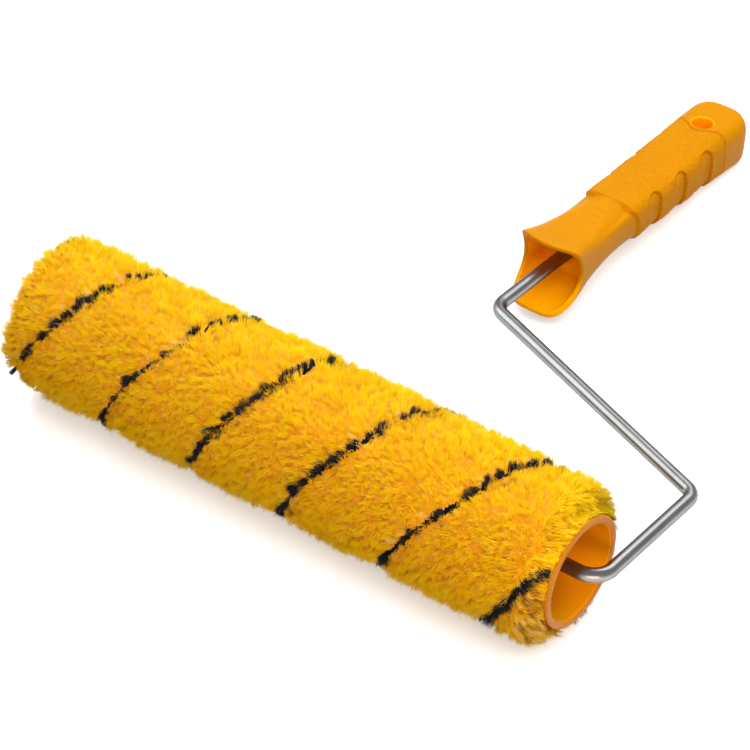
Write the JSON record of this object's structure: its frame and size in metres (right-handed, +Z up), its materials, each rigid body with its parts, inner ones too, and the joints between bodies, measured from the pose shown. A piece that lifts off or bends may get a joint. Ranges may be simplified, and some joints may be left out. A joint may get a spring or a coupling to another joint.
{
  "type": "paint roller",
  "caption": "Hand paint roller: a long-pile fabric sleeve on a plastic core that turns on a bent steel rod, with a moulded handle that has an open mouth and a hanging hole.",
  "frame": {"origin": "on the floor under the middle of the object's box, as it lies on its sleeve and on the heel of its handle", "axes": "+X along the roller towards the end where the rod leaves it, +Y from the roller to the handle, +Z up"},
  "size_m": [0.278, 0.3462, 0.068],
  "materials": {
    "handle_plastic": "satin moulded polypropylene, grained where it is gripped",
    "core_plastic": "smooth moulded, slightly translucent",
    "plug_plastic": "as moulded",
    "plated_steel": "drawn wire, zinc or nickel plated, satin",
    "spring_steel": "pressed spring strip",
    "pile_fabric": "long soft pile with thin dark stripes wound in a helix"
  },
  "bodies": {
    "frame": {"wire_frame": "plated_steel", "handle": "handle_plastic", "near_thrust_washer": "plug_plastic", "near_stop_ring": "spring_steel", "far_thrust_washer": "plug_plastic", "far_retaining_ring": "spring_steel"},
    "sleeve": {"core_tube": "core_plastic", "pile_sleeve": "pile_fabric", "near_bearing_plug": "plug_plastic", "far_bearing_plug": "plug_plastic", "far_end_cap": "core_plastic"}
  },
  "joints": [
    {"name": "roller_spin", "type": "hinge", "parent": "frame", "child": "sleeve", "pos_m": [0, -0.13913, 0.034], "axis": [1, 0, 0], "continuous": true}
  ]
}
